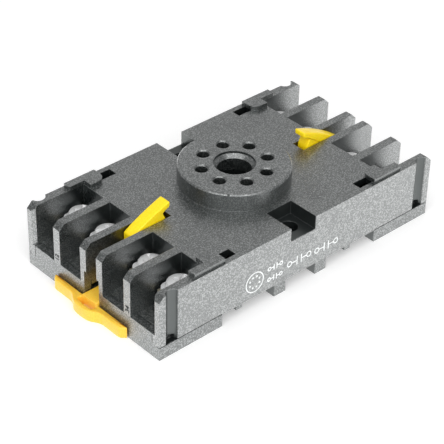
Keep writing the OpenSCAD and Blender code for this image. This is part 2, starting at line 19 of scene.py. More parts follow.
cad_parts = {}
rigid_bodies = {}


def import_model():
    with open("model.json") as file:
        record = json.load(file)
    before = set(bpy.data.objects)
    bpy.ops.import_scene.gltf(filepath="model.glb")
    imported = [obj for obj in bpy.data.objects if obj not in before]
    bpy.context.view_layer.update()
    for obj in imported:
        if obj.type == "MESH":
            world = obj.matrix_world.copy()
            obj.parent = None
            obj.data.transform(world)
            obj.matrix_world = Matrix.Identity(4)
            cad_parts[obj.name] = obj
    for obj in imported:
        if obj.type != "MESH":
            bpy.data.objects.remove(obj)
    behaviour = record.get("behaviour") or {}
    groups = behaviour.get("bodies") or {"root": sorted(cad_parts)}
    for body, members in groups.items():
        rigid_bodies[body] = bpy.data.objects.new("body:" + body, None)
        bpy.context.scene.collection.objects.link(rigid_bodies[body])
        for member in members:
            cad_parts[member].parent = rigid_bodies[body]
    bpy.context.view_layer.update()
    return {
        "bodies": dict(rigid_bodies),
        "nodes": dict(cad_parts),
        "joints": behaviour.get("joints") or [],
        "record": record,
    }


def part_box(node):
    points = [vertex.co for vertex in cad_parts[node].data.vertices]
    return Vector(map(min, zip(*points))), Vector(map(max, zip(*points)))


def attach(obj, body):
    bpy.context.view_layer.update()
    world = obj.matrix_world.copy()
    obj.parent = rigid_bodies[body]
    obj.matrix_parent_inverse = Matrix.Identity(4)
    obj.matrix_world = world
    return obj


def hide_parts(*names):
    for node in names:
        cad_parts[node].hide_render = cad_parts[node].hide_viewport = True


LOG = logging.getLogger("relay_socket")
MM = 0.001
SLOT_TURNS = (20.0, 65.0, -30.0, 40.0, -15.0, 75.0, 10.0, 55.0)
# Shortest length that still has a direction, and the distance in metres within which points merge
TINY = 1e-12
MERGE_DISTANCE = 1e-7

Pair = tuple[float, float]
Triple = tuple[float, float, float]
Colour = Triple
Stations = tuple[tuple[float, float, float, float], ...]
Grid = tuple[np.ndarray, bool, bool]
Node = bpy.types.Node
Socket = bpy.types.NodeSocket
Values = dict[str | int, object]


class Side(Enum):
    """The two ends of the socket along X."""

    LATCH_END = -1
    FIXED_END = 1


# Surfaces


def unit(vectors: np.ndarray) -> np.ndarray:
    """Scales every vector in the last axis of an array to length one."""
    return vectors / np.maximum(np.linalg.norm(vectors, axis=-1, keepdims=True), TINY)


def rounded_outline(corners: Sequence[Sequence[float]], radii: Sequence[float], steps: int = 6) -> np.ndarray:
    """Rounds the corners of a closed outline.

    Each corner C is replaced by the parabola (1-t)^2 A + 2t(1-t) C + t^2 B, where A and B lie on the
    two edges at the corner's radius from it, or at 45% of the shorter edge.

    Args:
        corners: Corner points, anticlockwise.
        radii: One radius per corner.
        steps: Points on each rounded corner.

    Returns:
        Points of the outline, shape (corners * steps, 2).
    """
    most = 0.45
    points = np.asarray(corners, dtype=float)
    back = np.roll(points, 1, axis=0) - points
    ahead = np.roll(points, -1, axis=0) - points
    shorter = np.minimum(np.linalg.norm(back, axis=1), np.linalg.norm(ahead, axis=1))
    cut = np.minimum(np.asarray(radii, dtype=float), most * shorter)[:, None]
    first = (points + unit(back) * cut)[:, None, :]
    last = (points + unit(ahead) * cut)[:, None, :]
    t = np.linspace(0.0, 1.0, steps)[None, :, None]
    curve = (1 - t) ** 2 * first + 2 * t * (1 - t) * points[:, None, :] + t**2 * last
    return curve.reshape(-1, 2)


def densified(outline: np.ndarray, pieces: int) -> np.ndarray:
    """Spreads points evenly along a closed outline while keeping its own points.

    Args:
        outline: Closed outline, shape (n, 2).
        pieces: Number of equal runs that get a point at each end.

    Returns:
        The outline with the points of both sets, in order.
    """
    closed = np.vstack([outline, outline[:1]])
    length = np.concatenate([[0.0], np.cumsum(np.linalg.norm(np.diff(closed, axis=0), axis=1))])
    even = np.linspace(0, length[-1], pieces + 1)[:-1]
    places = np.unique(np.round(np.concatenate([length[:-1], even]), decimals=6))
    return np.stack([np.interp(places, length, closed[:, k]) for k in (0, 1)], axis=1)


def inset(outline: np.ndarray, distance: float) -> np.ndarray:
    """Moves every point of an anticlockwise outline inwards.

    A point moves along the mean of the normals of its two edges, by the distance over the cosine of
    the half angle between them, so that the edges stay parallel. The cosine is at least 0.35, which
    keeps the point of a sharp corner near it.

    Args:
        outline: Closed outline, shape (n, 2).
        distance: How far the edges move.

    Returns:
        The smaller outline.
    """
    least = 0.35
    ahead = unit(np.roll(outline, -1, axis=0) - outline)
    behind = unit(outline - np.roll(outline, 1, axis=0))
    normal_ahead = np.stack([ahead[:, 1], -ahead[:, 0]], axis=1)
    normal_behind = np.stack([behind[:, 1], -behind[:, 0]], axis=1)
    normal = unit(normal_ahead + normal_behind)
    cosine = np.maximum(np.sum(normal * normal_ahead, axis=1, keepdims=True), least)
    return outline - normal * distance / cosine


def edge_rows(low: float, high: float, edge: float, steps: int = 4) -> np.ndarray:
    """Gives the inset and height of each row of a slab with rounded edges.

    The rows follow two quarter circles: inset = edge (1 - sin a), height = low + edge (1 - cos a),
    and the same from the top.

    Args:
        low: Height of the lower face.
        high: Height of the upper face.
        edge: Radius of both edges.
        steps: Rows on each quarter circle.

    Returns:
        Pairs of inset and height, from the lower face to the upper one.
    """
    a = np.linspace(0.0, math.pi / 2, steps)
    lower = np.stack([edge * (1 - np.sin(a)), low + edge * (1 - np.cos(a))], axis=1)
    upper = np.stack([lower[::-1, 0], high + low - lower[::-1, 1]], axis=1)
    return np.vstack([lower, upper])


def slab_grid(outline: np.ndarray, rows: np.ndarray) -> np.ndarray:
    """Makes the side surface of a slab: the outline at each row's inset and height, open at both ends."""
    return np.stack([np.column_stack([inset(outline, d), np.full(len(outline), h)]) for d, h in rows])


def ring_grid(outline: np.ndarray, hole: np.ndarray, rows: np.ndarray) -> np.ndarray:
    """Makes a slab with a hole as one surface closed both ways: up the outside and down the hole."""
    downwards = rows[::-1] * np.array([-1.0, 1.0])
    return np.concatenate([slab_grid(outline, rows), slab_grid(hole, downwards)])


def opposite_hole(outline: np.ndarray, hole: np.ndarray, centre: Sequence[float]) -> np.ndarray:
    """Resamples a hole so that each point lies on the ray from the centre to the outline's point.

    Args:
        outline: The outline around the hole.
        hole: The hole's own closed outline, seen all round from the centre.
        centre: A point inside the hole.

    Returns:
        The hole's radius at the outline's angles, as points, shape (n, 2).
    """
    c = np.asarray(centre, dtype=float)
    angle = np.arctan2(hole[:, 1] - c[1], hole[:, 0] - c[0])
    order = np.argsort(angle)
    radius = np.linalg.norm(hole - c, axis=1)[order]
    wanted = np.arctan2(outline[:, 1] - c[1], outline[:, 0] - c[0])
    found = np.interp(wanted, angle[order], radius, period=2 * math.pi)[:, None]
    return c + found * np.stack([np.cos(wanted), np.sin(wanted)], axis=1)


def circle(radius: float, centre: Sequence[float], count: int = 64) -> np.ndarray:
    """Gives the points of a circle, anticlockwise, shape (count, 2)."""
    a = np.linspace(0.0, 2 * math.pi, count, endpoint=False)
    return np.stack([centre[0] + radius * np.cos(a), centre[1] + radius * np.sin(a)], axis=1)


def swept_box(stations: Stations, edge: float) -> np.ndarray:
    """Carries a rounded rectangle along X, with its own size at each station.

    Args:
        stations: Rows of x, half width, lower z and upper z.
        edge: Corner radius of the rectangle.

    Returns:
        Points, shape (stations, points, 3).
    """
    rows = []
    for x, half, low, high in stations:
        corners = [[-half, low], [half, low], [half, high], [-half, high]]
        loop = rounded_outline(corners, [edge] * 4, steps=5)
        rows.append(np.column_stack([np.full(len(loop), x), loop]))
    return np.stack(rows)


def grid_faces(rows: int, columns: int, wrap_rows: bool) -> np.ndarray:
    """Numbers the four corners of every face of a grid whose rows are closed loops.

    Args:
        rows: Rows of points.
        columns: Points in a row.
        wrap_rows: Whether the last row joins the first.

    Returns:
        Corner numbers, shape (faces, 4).
    """
    number = np.arange(rows * columns).reshape(rows, columns)
    down = np.roll(number, -1, axis=0)
    right = np.roll(number, -1, axis=1)
    diagonal = np.roll(down, -1, axis=1)
    last_row = None if wrap_rows else -1
    faces = np.stack([number, right, diagonal, down], axis=-1)
    return faces[:last_row].reshape(-1, 4)


def make_piece(name: str, grids: Sequence[Grid], sharp_deg: float = 35.0) -> bpy.types.Object:
    """Puts surface grids into one mesh object at the origin.

    Args:
        name: Name of the piece.
        grids: Each grid's points in millimetres, whether its rows wrap, and whether its ends are closed.
        sharp_deg: Edges bent by more than this stay sharp.

    Returns:
        The linked object, with its normals facing outwards.
    """
    points: list[list[float]] = []
    faces: list[list[int]] = []
    for grid, wrap_rows, caps in grids:
        start = len(points)
        rows, columns = grid.shape[:2]
        points += (grid.reshape(-1, 3) * MM).tolist()
        faces += (grid_faces(rows, columns, wrap_rows) + start).tolist()
        if caps:
            faces.append(list(range(start + columns - 1, start - 1, -1)))
            faces.append(list(range(start + (rows - 1) * columns, start + rows * columns)))
    mesh = bpy.data.meshes.new(name)
    mesh.from_pydata(points, [], faces)
    face_outwards(mesh)
    mesh.polygons.foreach_set("use_smooth", np.ones(len(mesh.polygons), dtype=bool))
    mesh.set_sharp_from_angle(angle=math.radians(sharp_deg))
    return linked(name, mesh)


def linked(name: str, data: bpy.types.ID) -> bpy.types.Object:
    """Makes an object of a mesh, curve, camera or light and puts it into the scene.

    Args:
        name: Name of the object.
        data: What it shows.

    Returns:
        The new object, at the origin.
    """
    thing = bpy.data.objects.new(name, data)
    bpy.context.scene.collection.objects.link(thing)
    return thing


def face_outwards(mesh: bpy.types.Mesh) -> None:
    """Merges doubles and turns every closed shell's normals outwards.

    Args:
        mesh: The mesh to mend.
    """
    work = bmesh.new()
    work.from_mesh(mesh)
    bmesh.ops.remove_doubles(work, verts=work.verts, dist=MERGE_DISTANCE)
    bmesh.ops.recalc_face_normals(work, faces=work.faces)
    work.to_mesh(mesh)
    work.free()


# Shader nodes


@dataclass
class Nodes:
    """A short way to write a node tree.

    Attributes:
        tree: The tree that nodes are added to.
    """

    tree: bpy.types.NodeTree

    def feed(self, node: Node, values: Values) -> None:
        """Sets the inputs of a node.

        Args:
            node: The node.
            values: Input name or number to a plain value or to the socket that feeds it.
        """
        for key, value in values.items():
            if isinstance(value, Socket):
                self.tree.links.new(value, node.inputs[key])
            else:
                node.inputs[key].default_value = value

    def add(self, kind: str, values: Values | None = None, **settings: object) -> Node:
        """Adds a node.

        Args:
            kind: Its type, without the words ShaderNode.
            values: Input name or number to a plain value or to the socket that feeds it.
            **settings: The node's own attributes.

        Returns:
            The new node.
        """
        node = self.tree.nodes.new("ShaderNode" + kind)
        for key, value in settings.items():
            setattr(node, key, value)
        self.feed(node, values or {})
        return node

    def math(self, operation: str, first: object, *others: object) -> Socket:
        """Adds arithmetic on one value, or on the first and each of the others in turn.

        Args:
            operation: Name of the operation.
            first: A number or a socket.
            *others: More of them.

        Returns:
            The last result.
        """
        result = first
        for other in others or (0.0,):
            result = self.add("Math", {0: result, 1: other}, operation=operation).outputs[0]
        return result

    def weighted(self, *terms: tuple[Socket, float]) -> Socket:
        """Adds up sockets, each times its weight."""
        return self.math("ADD", *(self.math("MULTIPLY", socket, weight) for socket, weight in terms))

    def near(self, value: object, middle: float, reach: float) -> Socket:
        """Gives one where a value is less than the reach from the middle, else nothing."""
        return self.math("LESS_THAN", self.math("ABSOLUTE", self.math("SUBTRACT", value, middle)), reach)

    def length(self, a: Socket, b: Socket) -> Socket:
        """Gives the length of a flat vector."""
        return self.math("SQRT", self.math("ADD", self.math("MULTIPLY", a, a), self.math("MULTIPLY", b, b)))

    def ramp(self, value: object, low: float, high: float, start: float = 0.0, end: float = 1.0) -> Socket:
        """Maps a value smoothly from low and high to start and end."""
        values = {0: value, 1: low, 2: high, 3: start, 4: end}
        return self.add("MapRange", values, interpolation_type="SMOOTHSTEP").outputs[0]

    def mix(self, factor: object, a: object, b: object) -> Socket:
        """Mixes two colours."""
        return self.add("Mix", {0: factor, 6: a, 7: b}, data_type="RGBA").outputs[2]

    def noise(self, place: Socket, scale: object, detail: float, roughness: float = 0.5) -> Socket:
        """Adds a noise texture and gives its value."""
        values = {"Vector": place, "Scale": scale, "Detail": detail, "Roughness": roughness}
        return self.add("TexNoise", values).outputs[0]

    def bump(self, height: Socket, normal: Socket, depth: float, strength: float) -> Socket:
        """Bends a normal by a height, whose full range is the depth in metres."""
        values = {"Height": height, "Normal": normal, "Distance": depth, "Strength": strength}
        return self.add("Bump", values).outputs[0]

    def millimetres(self, place: Socket) -> tuple[Socket, ...]:
        """Splits object coordinates into x, y and z in millimetres."""
        split = self.add("SeparateXYZ", {0: place})
        return tuple(self.math("MULTIPLY", split.outputs[k], 1 / MM) for k in range(3))


Mask = Callable[[Nodes, Socket], Socket]


def new_group(
    name: str, inputs: dict[str, float | None], outputs: dict[str, str]
) -> tuple[Nodes, Node, Node]:
    """Starts a shader node group.

    Args:
        name: Name of the group.
        inputs: Each input's name and default number, or None for a vector.
        outputs: Each output's name and type.

    Returns:
        The group's writer, its input node and its output node.
    """
    tree = bpy.data.node_groups.new(name, "ShaderNodeTree")
    for key, value in inputs.items():
        kind = "NodeSocketVector" if value is None else "NodeSocketFloat"
        socket = tree.interface.new_socket(name=key, in_out="INPUT", socket_type=kind)
        if value is not None:
            socket.default_value = value
    for key, kind in outputs.items():
        tree.interface.new_socket(name=key, in_out="OUTPUT", socket_type="NodeSocket" + kind)
    return Nodes(tree), tree.nodes.new("NodeGroupInput"), tree.nodes.new("NodeGroupOutput")


def new_material(name: str) -> tuple[bpy.types.Material, Nodes, Node]:
    """Starts a material.

    Args:
        name: Name of the material.

    Returns:
        The material, a writer for its nodes and its Principled shader.
    """
    material = bpy.data.materials.new(name)
    material.use_nodes = True
    tree = material.node_tree
    return material, Nodes(tree), tree.nodes["Principled BSDF"]


class Effects:
    """The node groups that more than one material uses, each built once."""

    def __init__(self) -> None:
        """Builds the groups."""
        self.grain = self._grain()
        self.edges = self._edges()

    @staticmethod
    def _grain() -> bpy.types.NodeTree:
        """Makes the spark-eroded skin of a moulding: fine pits over slow, faint clouds.

        Returns:
            A group with the outputs Shade, Gloss and Height.
        """
        n, start, end = new_group(
            "moulded_grain",
            {"Vector": None, "Grain": 2600.0, "Cloud": 90.0},
            {"Shade": "Float", "Gloss": "Float", "Height": "Float"},
        )
        place = start.outputs["Vector"]
        scale = start.outputs["Grain"]
        fine = n.ramp(n.noise(place, scale, detail=3.0, roughness=0.62), 0.32, 0.68)
        slow = n.ramp(n.noise(place, start.outputs["Cloud"], detail=4.0, roughness=0.55), 0.3, 0.7)
        pits = n.add("TexVoronoi", {"Vector": place, "Scale": scale, "Randomness": 1.0})
        shade = n.weighted((fine, 0.88), (slow, 0.12))
        height = n.weighted((fine, 0.6), (pits.outputs["Distance"], 0.5))
        n.feed(end, {"Shade": shade, "Gloss": slow, "Height": height})
        return n.tree

    @staticmethod
    def _edges() -> bpy.types.NodeTree:
        """Makes rounded edges: a normal bent over each edge, and a mask of the edge.

        The mask grows as the dot product of the bent normal and the surface's own falls.

        Returns:
            A group with the outputs Normal and Edge.
        """
        n, start, end = new_group("rounded_edges", {"Radius": 0.0002}, {"Normal": "Vector", "Edge": "Float"})
        bevel = n.add("Bevel", {"Radius": start.outputs["Radius"]}, samples=6)
        own = n.add("NewGeometry").outputs["Normal"]
        dot = n.add("VectorMath", {0: bevel.outputs[0], 1: own}, operation="DOT_PRODUCT")
        n.feed(end, {"Normal": bevel.outputs[0], "Edge": n.ramp(dot.outputs["Value"], 0.995, 0.86)})
        return n.tree


@dataclass(frozen=True)
class MouldedPlastic:
    """A moulded plastic with a textured skin and edges lightened by wear and a painted highlight.

    Attributes:
        name: Name of the material.
        dark: Colour in the hollows of the grain.
        light: Colour on its peaks.
        edge: Colour along the edges, lighter for wear and a painted highlight.
        edge_wear_and_highlight_share: How far an edge takes that colour.
        roughness: Lowest and highest roughness.
        speckle: Grain values at which the dark colour ends and the light one is reached.
        grain: Scale of the grain, per metre.
        bump: Depth of the grain, in metres.
        edge_radius: Radius of the rounded edges, in metres.
        ior: Index of refraction.
        specular: Specular level.
        tint: Colour of its reflections.
        skin: Weight of the glossy moulding skin in the hollows of the grain and on its peaks.
        skin_ior: Index of refraction of that skin.
        skin_roughness: Roughness of that skin.
        skin_and_shade_reach: Adds the mask of where speckle and skin lie, outside of which the colour is
            painted shade, or None where they lie everywhere.
        glow: Subsurface weight, for thin coloured mouldings.
        painted_light: Painted light: a glow given out as emission that lifts their shaded faces.
        scatter: How far red, green and blue light spread in them, in metres.
        print_mask: Adds a printed mark and returns its mask, or None.
        ink: Colour of that mark.
    """

    name: str
    dark: Colour
    light: Colour
    edge: Colour
    edge_wear_and_highlight_share: float = 0.5
    roughness: Pair = (0.45, 0.62)
    speckle: Pair = (0.0, 1.0)
    grain: float = 2600.0
    bump: float = 0.00002
    edge_radius: float = 0.00022
    ior: float = 1.5
    specular: float = 0.5
    tint: Colour = (1.0, 1.0, 1.0)
    skin: Pair = (0.0, 0.0)
    skin_ior: float = 1.5
    skin_roughness: float = 0.3
    skin_and_shade_reach: Mask | None = None
    glow: float = 0.0
    painted_light: Colour = (0.0, 0.0, 0.0)
    scatter: Triple = (0.0012, 0.0007, 0.0002)
    print_mask: Mask | None = None
    ink: Colour = (0.82, 0.84, 0.84)

    def build(self, effects: Effects) -> bpy.types.Material:
        """Builds the material.

        Args:
            effects: The shared node groups.

        Returns:
            The new material.
        """
        material, n, shader = new_material(self.name)
        place = n.add("TexCoord").outputs["Object"]
        grain = n.add("Group", {"Vector": place, "Grain": self.grain}, node_tree=effects.grain).outputs
        edges = n.add("Group", {"Radius": self.edge_radius}, node_tree=effects.edges).outputs
        # Where this mask falls the light speckle fades out: painted shade deep in bays, notches and grooves.
        reach = self.skin_and_shade_reach(n, place) if self.skin_and_shade_reach else 1.0
        peaks = n.math("MULTIPLY", n.ramp(grain["Shade"], *self.speckle), reach)
        colour = n.mix(peaks, (*self.dark, 1), (*self.light, 1))
        # The edges take a lighter colour: partly wear, partly a painted highlight.
        colour = n.mix(n.math("MULTIPLY", edges["Edge"], self.edge_wear_and_highlight_share), colour, (*self.edge, 1))
        if self.print_mask:
            colour = n.mix(self.print_mask(n, place), colour, (*self.ink, 1))
        values = {
            "Base Color": colour,
            "Roughness": n.ramp(grain["Gloss"], 0.0, 1.0, *self.roughness),
            "Normal": n.bump(grain["Height"], edges["Normal"], self.bump, strength=0.9),
            "IOR": self.ior,
            "Specular IOR Level": self.specular,
            "Specular Tint": (*self.tint, 1),
        }
        if max(self.skin) > 0:
            gloss = n.ramp(grain["Shade"], *self.speckle, *self.skin)
            values["Coat Weight"] = n.math("MULTIPLY", gloss, reach)
            values["Coat IOR"] = self.skin_ior
            values["Coat Roughness"] = self.skin_roughness
        if self.glow:
            # Painted light: an emitted glow that lifts the shaded faces.
            values["Emission Color"] = (*self.painted_light, 1)
            values["Emission Strength"] = 1.0
            values["Subsurface Weight"] = self.glow
            values["Subsurface Radius"] = self.scatter
            values["Subsurface Scale"] = 1.0
        n.feed(shader, values)
        return material


@dataclass(frozen=True)
class PlatedMetal:
    """A plated metal with fine brushing and small dull patches.

    Attributes:
        name: Name of the material.
        colour: Colour of the clean plating.
        dull: Colour of the dull patches.
        roughness: Lowest and highest roughness.
        metallic: Share of bare metal under the passivated plating.
        brush: Stretch of the brushing along X, Y and Z.
        patches: Scale of the dull patches, per metre.
        bump: Depth of the brushing, in metres.
        edge_radius: Radius of the rounded edges, in metres.
    """

    name: str
    colour: Colour
    dull: Colour
    roughness: Pair = (0.42, 0.58)
    metallic: float = 1.0
    brush: Triple = (400.0, 3600.0, 3600.0)
    patches: float = 520.0
    bump: float = 0.00001
    edge_radius: float = 0.00012

    def build(self, effects: Effects) -> bpy.types.Material:
        """Builds the material.

        Args:
            effects: The shared node groups.

        Returns:
            The new material.
        """
        material, n, shader = new_material(self.name)
        place = n.add("TexCoord").outputs["Object"]
        drawn = n.add("Mapping", {"Vector": place, "Scale": self.brush})
        lines = n.noise(drawn.outputs[0], 1.0, detail=3.0, roughness=0.6)
        patch = n.ramp(n.noise(place, self.patches, detail=3.0, roughness=0.55), 0.45, 0.7)
        edges = n.add("Group", {"Radius": self.edge_radius}, node_tree=effects.edges).outputs
        values = {
            "Base Color": n.mix(patch, (*self.colour, 1), (*self.dull, 1)),
            "Metallic": self.metallic,
            "Roughness": n.ramp(n.weighted((lines, 0.6), (patch, 0.4)), 0.1, 0.9, *self.roughness),
            "Normal": n.bump(lines, edges["Normal"], self.bump, strength=0.35),
        }
        n.feed(shader, values)
        return material


@dataclass(frozen=True)
class SidePrint:
    """A plain connection diagram printed on the long side at -Y.

    It is a ring with the eight pins in it, and beside it rows of a line between two terminals, with
    the two plates of an open contact in the line.

    Attributes:
        wall_y: The printed face.
        depth: Depth of the face over which the ink is taken as lying on it.
        ring: Centre x and z and radius of the ring.
        pin_ring: Radius of the circle of pins.
        pin: Radius of a pin.
        stroke: Width of the lines.
        ball: Radius of a terminal, as a share of its row's half height.
        rows: Left end, right end, level, place of the contact and half height of each row.
        wear: Scale of the wear, per metre, and the share of the ink that it leaves where it is worst.
    """

    wall_y: float = -24.96
    depth: float = 0.05
    ring: Triple = (-15.8, 8.0, 2.8)
    pin_ring: float = 1.65
    pin: float = 0.3
    stroke: float = 0.34
    ball: float = 0.55
    rows: tuple[tuple[float, float, float, float, float], ...] = (
        (-11.0, -7.1, 9.6, -9.0, 0.85),
        (-11.0, -7.1, 6.4, -9.0, 0.85),
        (-4.2, 2.4, 7.7, -0.9, 1.3),
        (5.2, 11.8, 7.3, 8.5, 1.3),
    )
    wear: Pair = (1500.0, 0.75)

    def mask(self, n: Nodes, place: Socket) -> Socket:
        """Adds the nodes of the printed mask.

        Args:
            n: Writer of the material's nodes.
            place: Object coordinates.

        Returns:
            One where there is ink, else nothing.
        """
        x, y, z = n.millimetres(place)
        ink = [self._circle(n, x, z, self.ring), self._pins(n, x, z)]
        for left, right, level, contact, tall in self.rows:
            ball = self.ball * tall
            plates = (contact - ball, contact + ball)
            ink.append(self._bar(n, x, z, (left + ball, plates[0]), level))
            ink.append(self._bar(n, x, z, (plates[1], right - ball), level))
            ink += [self._circle(n, x, z, (end, level, ball)) for end in (left, right)]
            ink += [self._bar(n, z, x, (level - tall, level + tall), plate) for plate in plates]
        face = n.math("LESS_THAN", y, self.wall_y + self.depth)
        scale, least = self.wear
        kept = n.ramp(n.noise(place, scale, detail=2.0), 0.3, 0.5, least, 1.0)
        return n.math("MULTIPLY", n.math("MAXIMUM", *ink), face, kept)

    def _pins(self, n: Nodes, x: Socket, z: Socket) -> Socket:
        """Makes the mask of the eight pins: one pin, with the angle folded round the ring.

        Args:
            n: Writer of the material's nodes.
            x: Place along the socket.
            z: Height.

        Returns:
            One in a pin, else nothing.
        """
        dx = n.math("SUBTRACT", x, self.ring[0])
        dz = n.math("SUBTRACT", z, self.ring[1])
        sector = math.pi / 8
        turn = n.math("ADD", n.math("ARCTAN2", dz, dx), 4 * math.pi)
        angle = n.math("SUBTRACT", sector, n.math("PINGPONG", turn, sector))
        away = n.length(dx, dz)
        along = n.math("MULTIPLY", away, n.math("COSINE", angle))
        across = n.math("MULTIPLY", away, n.math("SINE", angle))
        return n.math("LESS_THAN", n.length(n.math("SUBTRACT", along, self.pin_ring), across), self.pin)

    def _circle(self, n: Nodes, x: Socket, z: Socket, ring: Sequence[float]) -> Socket:
        """Makes the mask of a drawn circle, given by its centre's x and z and its radius."""
        away = n.length(n.math("SUBTRACT", x, ring[0]), n.math("SUBTRACT", z, ring[1]))
        return n.near(away, ring[2], self.stroke / 2)

    def _bar(self, n: Nodes, along: Socket, across: Socket, ends: Pair, level: float) -> Socket:
        """Makes the mask of a line between two ends on one axis, at a level of the other."""
        length = n.near(along, (ends[0] + ends[1]) / 2, (ends[1] - ends[0]) / 2)
        return n.math("MULTIPLY", length, n.near(across, level, self.stroke / 2))


@dataclass(frozen=True)
class SkinAndRecessShade:
    """Where the glossy skin and the light speckle of the housing lie: on its outside, dying away into bays,
    notches and corner grooves, which are left in painted shade.

    Attributes:
        top_z: Height from which everything has the skin, the upright faces less of it, which paints shade on
            them.
        upright: Weight of the skin on those upright faces.
        side_y: Distance from the middle at which the long outer faces begin.
        end_x: Distance from the middle at which the end faces begin.
        mouth_x: Distances along X between which the skin grows towards the mouth of a bay, leaving painted
            shade deeper in.
        groove: Place along X and half width of the corner grooves, and the distance at which they begin; in
            them the skin of the mouth is taken away, for painted shade.
    """

    top_z: float = 18.0
    upright: float = 0.5
    side_y: float = 24.7
    end_x: float = 45.5
    mouth_x: Pair = (33.0, 43.0)
    groove: Triple = (42.0, 1.95, 23.4)

    def mask(self, n: Nodes, place: Socket) -> Socket:
        """Adds the nodes of the mask.

        Args:
            n: Writer of the material's nodes.
            place: Object coordinates.

        Returns:
            One on the outside, nothing deep inside, where the colour is painted shade.
        """
        x, y, z = n.millimetres(place)
        from_middle = n.math("ABSOLUTE", x)
        off_axis = n.math("ABSOLUTE", y)
        normal = n.add("SeparateXYZ", {0: n.add("NewGeometry").outputs["True Normal"]})
        weight = n.ramp(normal.outputs["Z"], 0.1, 0.95, self.upright, 1.0)
        top = n.math("MULTIPLY", n.math("GREATER_THAN", z, self.top_z), weight)
        side = n.math("GREATER_THAN", off_axis, self.side_y)
        end = n.math("GREATER_THAN", from_middle, self.end_x)
        groove_x, half, groove_y = self.groove
        beyond = n.math("GREATER_THAN", off_axis, groove_y)
        groove = n.math("MULTIPLY", n.near(from_middle, groove_x, half), beyond)
        mouth = n.math("MULTIPLY", n.ramp(from_middle, *self.mouth_x), n.math("SUBTRACT", 1.0, groove))
        return n.math("MAXIMUM", top, side, end, mouth)


@dataclass
class Finishes:
    """Every finish of the socket, built once.

    Attributes:
        effects: The shared node groups.
    """

    effects: Effects = field(default_factory=Effects)

    def __post_init__(self) -> None:
        """Builds the materials."""
        shell = dict(
            dark=(0.008, 0.01, 0.01),
            light=(0.11, 0.119, 0.117),
            # Edge colours here and below are lighter for wear and a painted highlight.
            edge=(0.14, 0.15, 0.15),
            edge_wear_and_highlight_share=0.3,
            speckle=(0.48, 0.8),
            roughness=(0.27, 0.37),
            grain=2900.0,
            bump=0.000009,
            ior=1.55,
            specular=1.0,
            tint=(0.93, 0.99, 0.98),
            skin_ior=2.6,
            skin_roughness=0.35,
            # This mask paints shade deep in the bays, notches and grooves.
            skin_and_shade_reach=SkinAndRecessShade().mask,
        )
        bright = dict(edge_wear_and_highlight_share=0.35, bump=0.000006, glow=0.15)
        plastics = (
            MouldedPlastic("black_housing_plastic", skin=(0.45, 1.0), print_mask=SidePrint().mask, **shell),
            MouldedPlastic("black_base_plastic", skin=(0.25, 0.75), **shell),
            MouldedPlastic(
                "matt_relief_plastic",
                dark=(0.004, 0.005, 0.005),
                light=(0.02, 0.022, 0.022),
                edge=(0.03, 0.03, 0.03),
                roughness=(0.6, 0.75),
                bump=0.000006,
                edge_radius=0.00005,
            ),
            MouldedPlastic(
                "orange_latch_plastic",
                dark=(0.92, 0.54, 0.04),
                light=(0.97, 0.64, 0.07),
                edge=(0.99, 0.78, 0.3),
                roughness=(0.32, 0.45),
                # Painted light: an emitted glow on the shaded faces.
                painted_light=(0.09, 0.045, 0.004),
                **bright,
            ),
            MouldedPlastic(
                "yellow_lever_plastic",
                dark=(1.0, 0.72, 0.005),
                light=(1.0, 0.8, 0.014),
                edge=(1.0, 0.93, 0.35),
                roughness=(0.3, 0.42),
                # Painted light: an emitted glow on the shaded faces.
                painted_light=(0.1, 0.05, 0.0),
                **bright,
            ),
        )
        built = [plastic.build(self.effects) for plastic in plastics]
        self.housing, self.base, self.relief, self.orange, self.yellow = built
        zinc = PlatedMetal("bright_zinc", (0.97, 0.97, 0.97), (0.88, 0.89, 0.9), metallic=0.4)
        brass = PlatedMetal("tinned_brass", (0.72, 0.66, 0.52), (0.5, 0.44, 0.33))
        self.zinc = zinc.build(self.effects)
        self.contact = brass.build(self.effects)


def dress(piece: bpy.types.Object, material: bpy.types.Material) -> None:
    """Gives a piece one material.

    Args:
        piece: A mesh object.
        material: Its material.
    """
    if not piece.data.materials:
        piece.data.materials.append(material)
    for slot in piece.material_slots:
        slot.material = material


# Sub-assemblies


@dataclass
class Shell:
    """The housing and the base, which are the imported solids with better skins."""

    def build(self, frame: dict, finishes: Finishes) -> None:
        """Dresses both mouldings.

        Args:
            frame: The loaded frame.
            finishes: The materials.
        """
        dress(frame["nodes"]["housing"], finishes.housing)
        dress(frame["nodes"]["base"], finishes.base)
        LOG.info("housing and base dressed")


@dataclass
class PartitionNumber:
    """A plain two-digit number in relief on the end face of a partition, read upwards.

    Attributes:
        digits: The number.
        y: Place of its middle across the socket.
        z: Height of its middle.
        face_x: The end face that it stands on.
        size: Height of its figures.
        relief: How far it stands out of the face.
        weight: How far its strokes are widened on each side.
    """

    digits: str
    y: float
    z: float = 8.5
    face_x: float = -45.8
    size: float = 1.9
    relief: float = 0.05
    weight: float = 0.03

    def build(self, finishes: Finishes) -> None:
        """Makes the number as a mesh and lays it on the face.

        The figures' own x axis is turned to Z, their y axis to Y, and they face -X.

        Args:
            finishes: The materials.
        """
        curve = bpy.data.curves.new("partition_number", "FONT")
        curve.body = self.digits
        curve.size = self.size * MM
        curve.extrude = self.relief * MM
        curve.offset = self.weight * MM
        writer = linked("partition_number_writer", curve)
        graph = bpy.context.evaluated_depsgraph_get()
        mesh = bpy.data.meshes.new_from_object(writer.evaluated_get(graph))
        bpy.data.objects.remove(writer)
        points = np.empty(3 * len(mesh.vertices))
        mesh.vertices.foreach_get("co", points)
        flat = points.reshape(-1, 3)
        flat -= (flat.min(axis=0) + flat.max(axis=0)) / 2
        x = self.face_x * MM - flat[:, 2]
        y = self.y * MM + flat[:, 1]
        z = self.z * MM + flat[:, 0]
        mesh.vertices.foreach_set("co", np.stack([x, y, z], axis=-1).ravel())
        mesh.update()
        piece = linked(f"partition_number_{self.digits}", mesh)
        dress(piece, finishes.relief)
        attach(piece, "socket")
        LOG.info("number %s built", self.digits)


